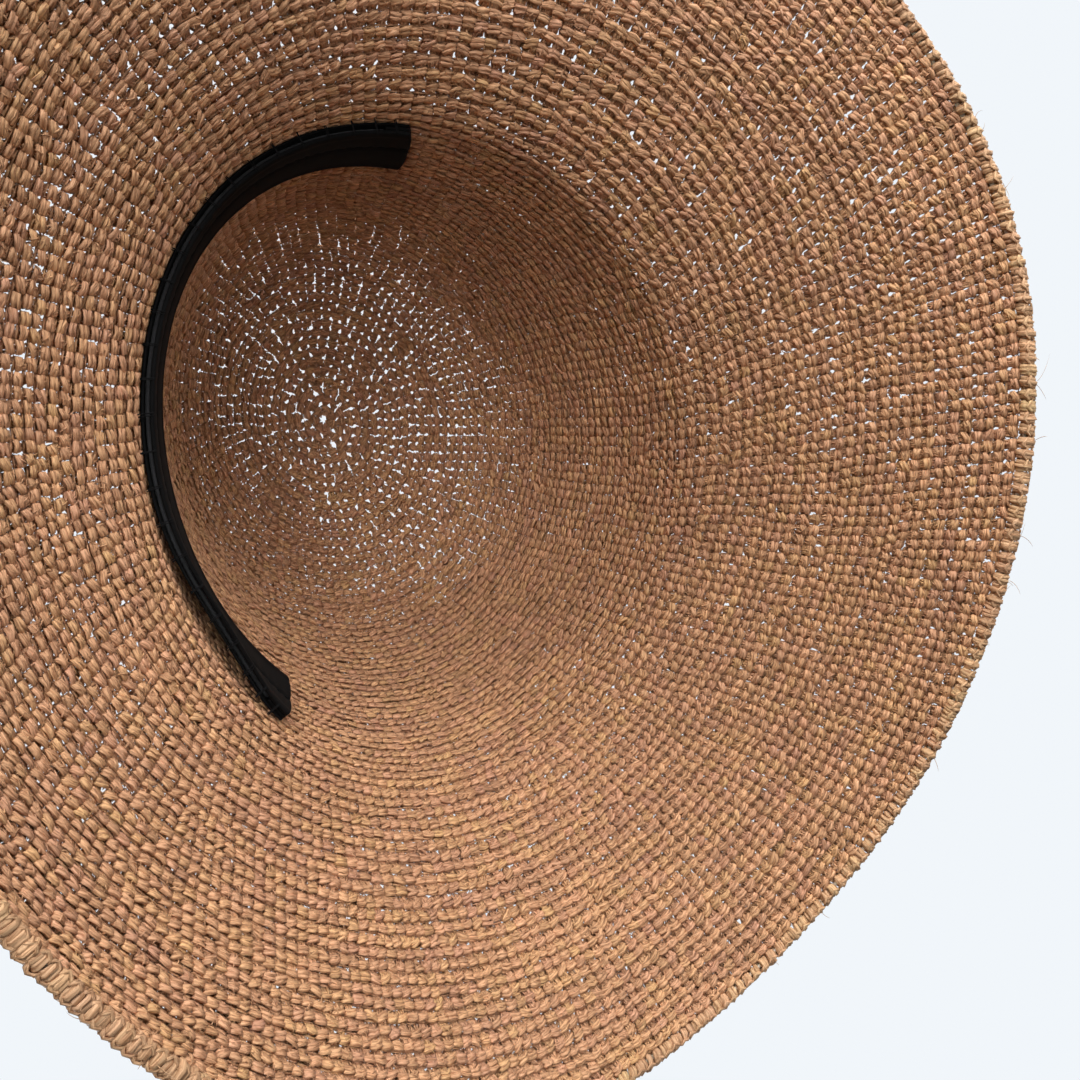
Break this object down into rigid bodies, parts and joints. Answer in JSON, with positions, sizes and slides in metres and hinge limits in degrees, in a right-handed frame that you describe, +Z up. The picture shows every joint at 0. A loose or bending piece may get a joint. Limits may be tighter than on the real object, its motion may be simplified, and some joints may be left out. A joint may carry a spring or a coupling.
{
  "type": "straw sun hat",
  "caption": "Floppy wide-brimmed sun hat of crocheted raffia with a soft round crown, a corded edge round and a folded fabric half sweatband inside the front.",
  "frame": {"origin": "centre of the head opening, at the mean height of the headline", "axes": "+Z up through the crown, -Y towards the front where the sweatband sits, +X to the hat's own left"},
  "size_m": [0.3585, 0.3332, 0.2191],
  "materials": {
    "raffia": "dry natural raffia fibre, tan with pink and golden strands, soft sheen",
    "raffia_edge": "dry natural raffia fibre, paler and more golden than the body",
    "edge_line": "translucent straw-coloured nylon line",
    "band_tape": "matte black woven tape",
    "band_pad": "thin black felt padding",
    "thread": "matte black sewing thread"
  },
  "bodies": {
    "root": {"crown_start_ring": "raffia", "crown_tip": "raffia", "crown_side": "raffia", "brim_inner": "raffia", "brim_outer": "raffia", "brim_edge_round": "raffia_edge", "brim_edge_line": "edge_line", "sweatband_backing": "band_tape", "sweatband_pad": "band_pad", "sweatband_face": "band_tape", "sweatband_end_folds": "band_tape", "sweatband_topstitch": "thread", "sweatband_tacks": "thread"}
  },
  "joints": []
}
